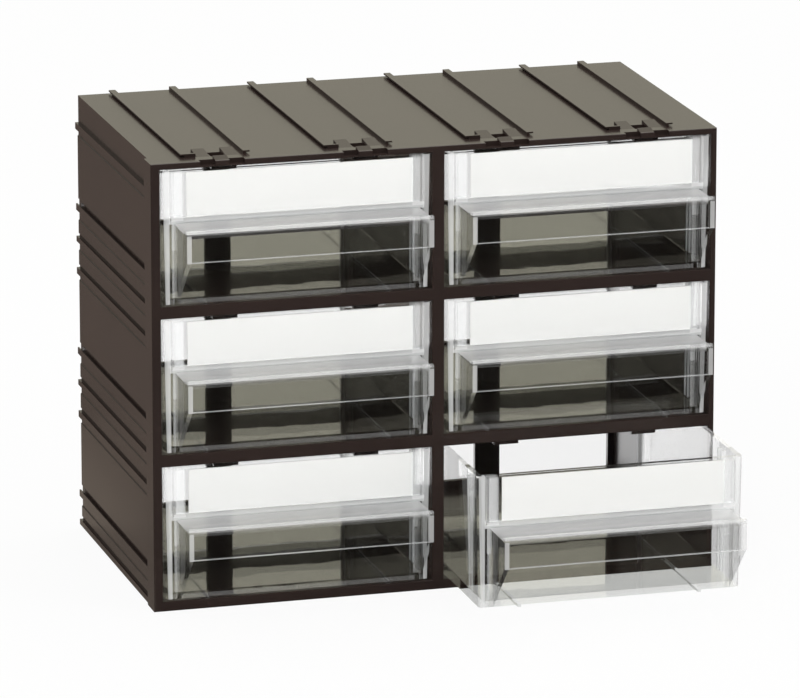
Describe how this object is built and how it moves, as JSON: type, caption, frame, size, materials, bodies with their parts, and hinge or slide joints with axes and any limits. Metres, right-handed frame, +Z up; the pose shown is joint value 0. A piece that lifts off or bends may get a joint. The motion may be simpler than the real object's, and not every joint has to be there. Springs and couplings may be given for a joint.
{
  "type": "drawer unit",
  "caption": "Low stacking drawer unit: a dark one-piece moulded case with clear pull-out drawers, label cards and rails to join more units.",
  "frame": {"origin": "middle of the case's flat underside", "axes": "+X across the front towards the right-hand side, +Y from the front to the back, +Z up; drawers open towards -Y"},
  "size_m": [0.2092, 0.173, 0.1642],
  "materials": {
    "case_plastic": "satin moulded, dark grey",
    "clear_plastic": "clear, glossy",
    "card": "plain white card"
  },
  "bodies": {
    "case": {"case": "case_plastic"},
    "drawer_left_bottom": {"drawer_left_bottom": "clear_plastic", "label_card_left_bottom": "card"},
    "drawer_left_middle": {"drawer_left_middle": "clear_plastic", "label_card_left_middle": "card"},
    "drawer_left_top": {"drawer_left_top": "clear_plastic", "label_card_left_top": "card"},
    "drawer_right_bottom": {"drawer_right_bottom": "clear_plastic", "label_card_right_bottom": "card"},
    "drawer_right_middle": {"drawer_right_middle": "clear_plastic", "label_card_right_middle": "card"},
    "drawer_right_top": {"drawer_right_top": "clear_plastic", "label_card_right_top": "card"}
  },
  "joints": [
    {"name": "slide_left_bottom", "type": "slide", "parent": "case", "child": "drawer_left_bottom", "axis": [0, -1, 0], "range_m": [0, 0.1042]},
    {"name": "slide_left_middle", "type": "slide", "parent": "case", "child": "drawer_left_middle", "axis": [0, -1, 0], "range_m": [0, 0.1042]},
    {"name": "slide_left_top", "type": "slide", "parent": "case", "child": "drawer_left_top", "axis": [0, -1, 0], "range_m": [0, 0.1042]},
    {"name": "slide_right_bottom", "type": "slide", "parent": "case", "child": "drawer_right_bottom", "axis": [0, -1, 0], "range_m": [-0.04, 0.0642]},
    {"name": "slide_right_middle", "type": "slide", "parent": "case", "child": "drawer_right_middle", "axis": [0, -1, 0], "range_m": [0, 0.1042]},
    {"name": "slide_right_top", "type": "slide", "parent": "case", "child": "drawer_right_top", "axis": [0, -1, 0], "range_m": [0, 0.1042]}
  ]
}
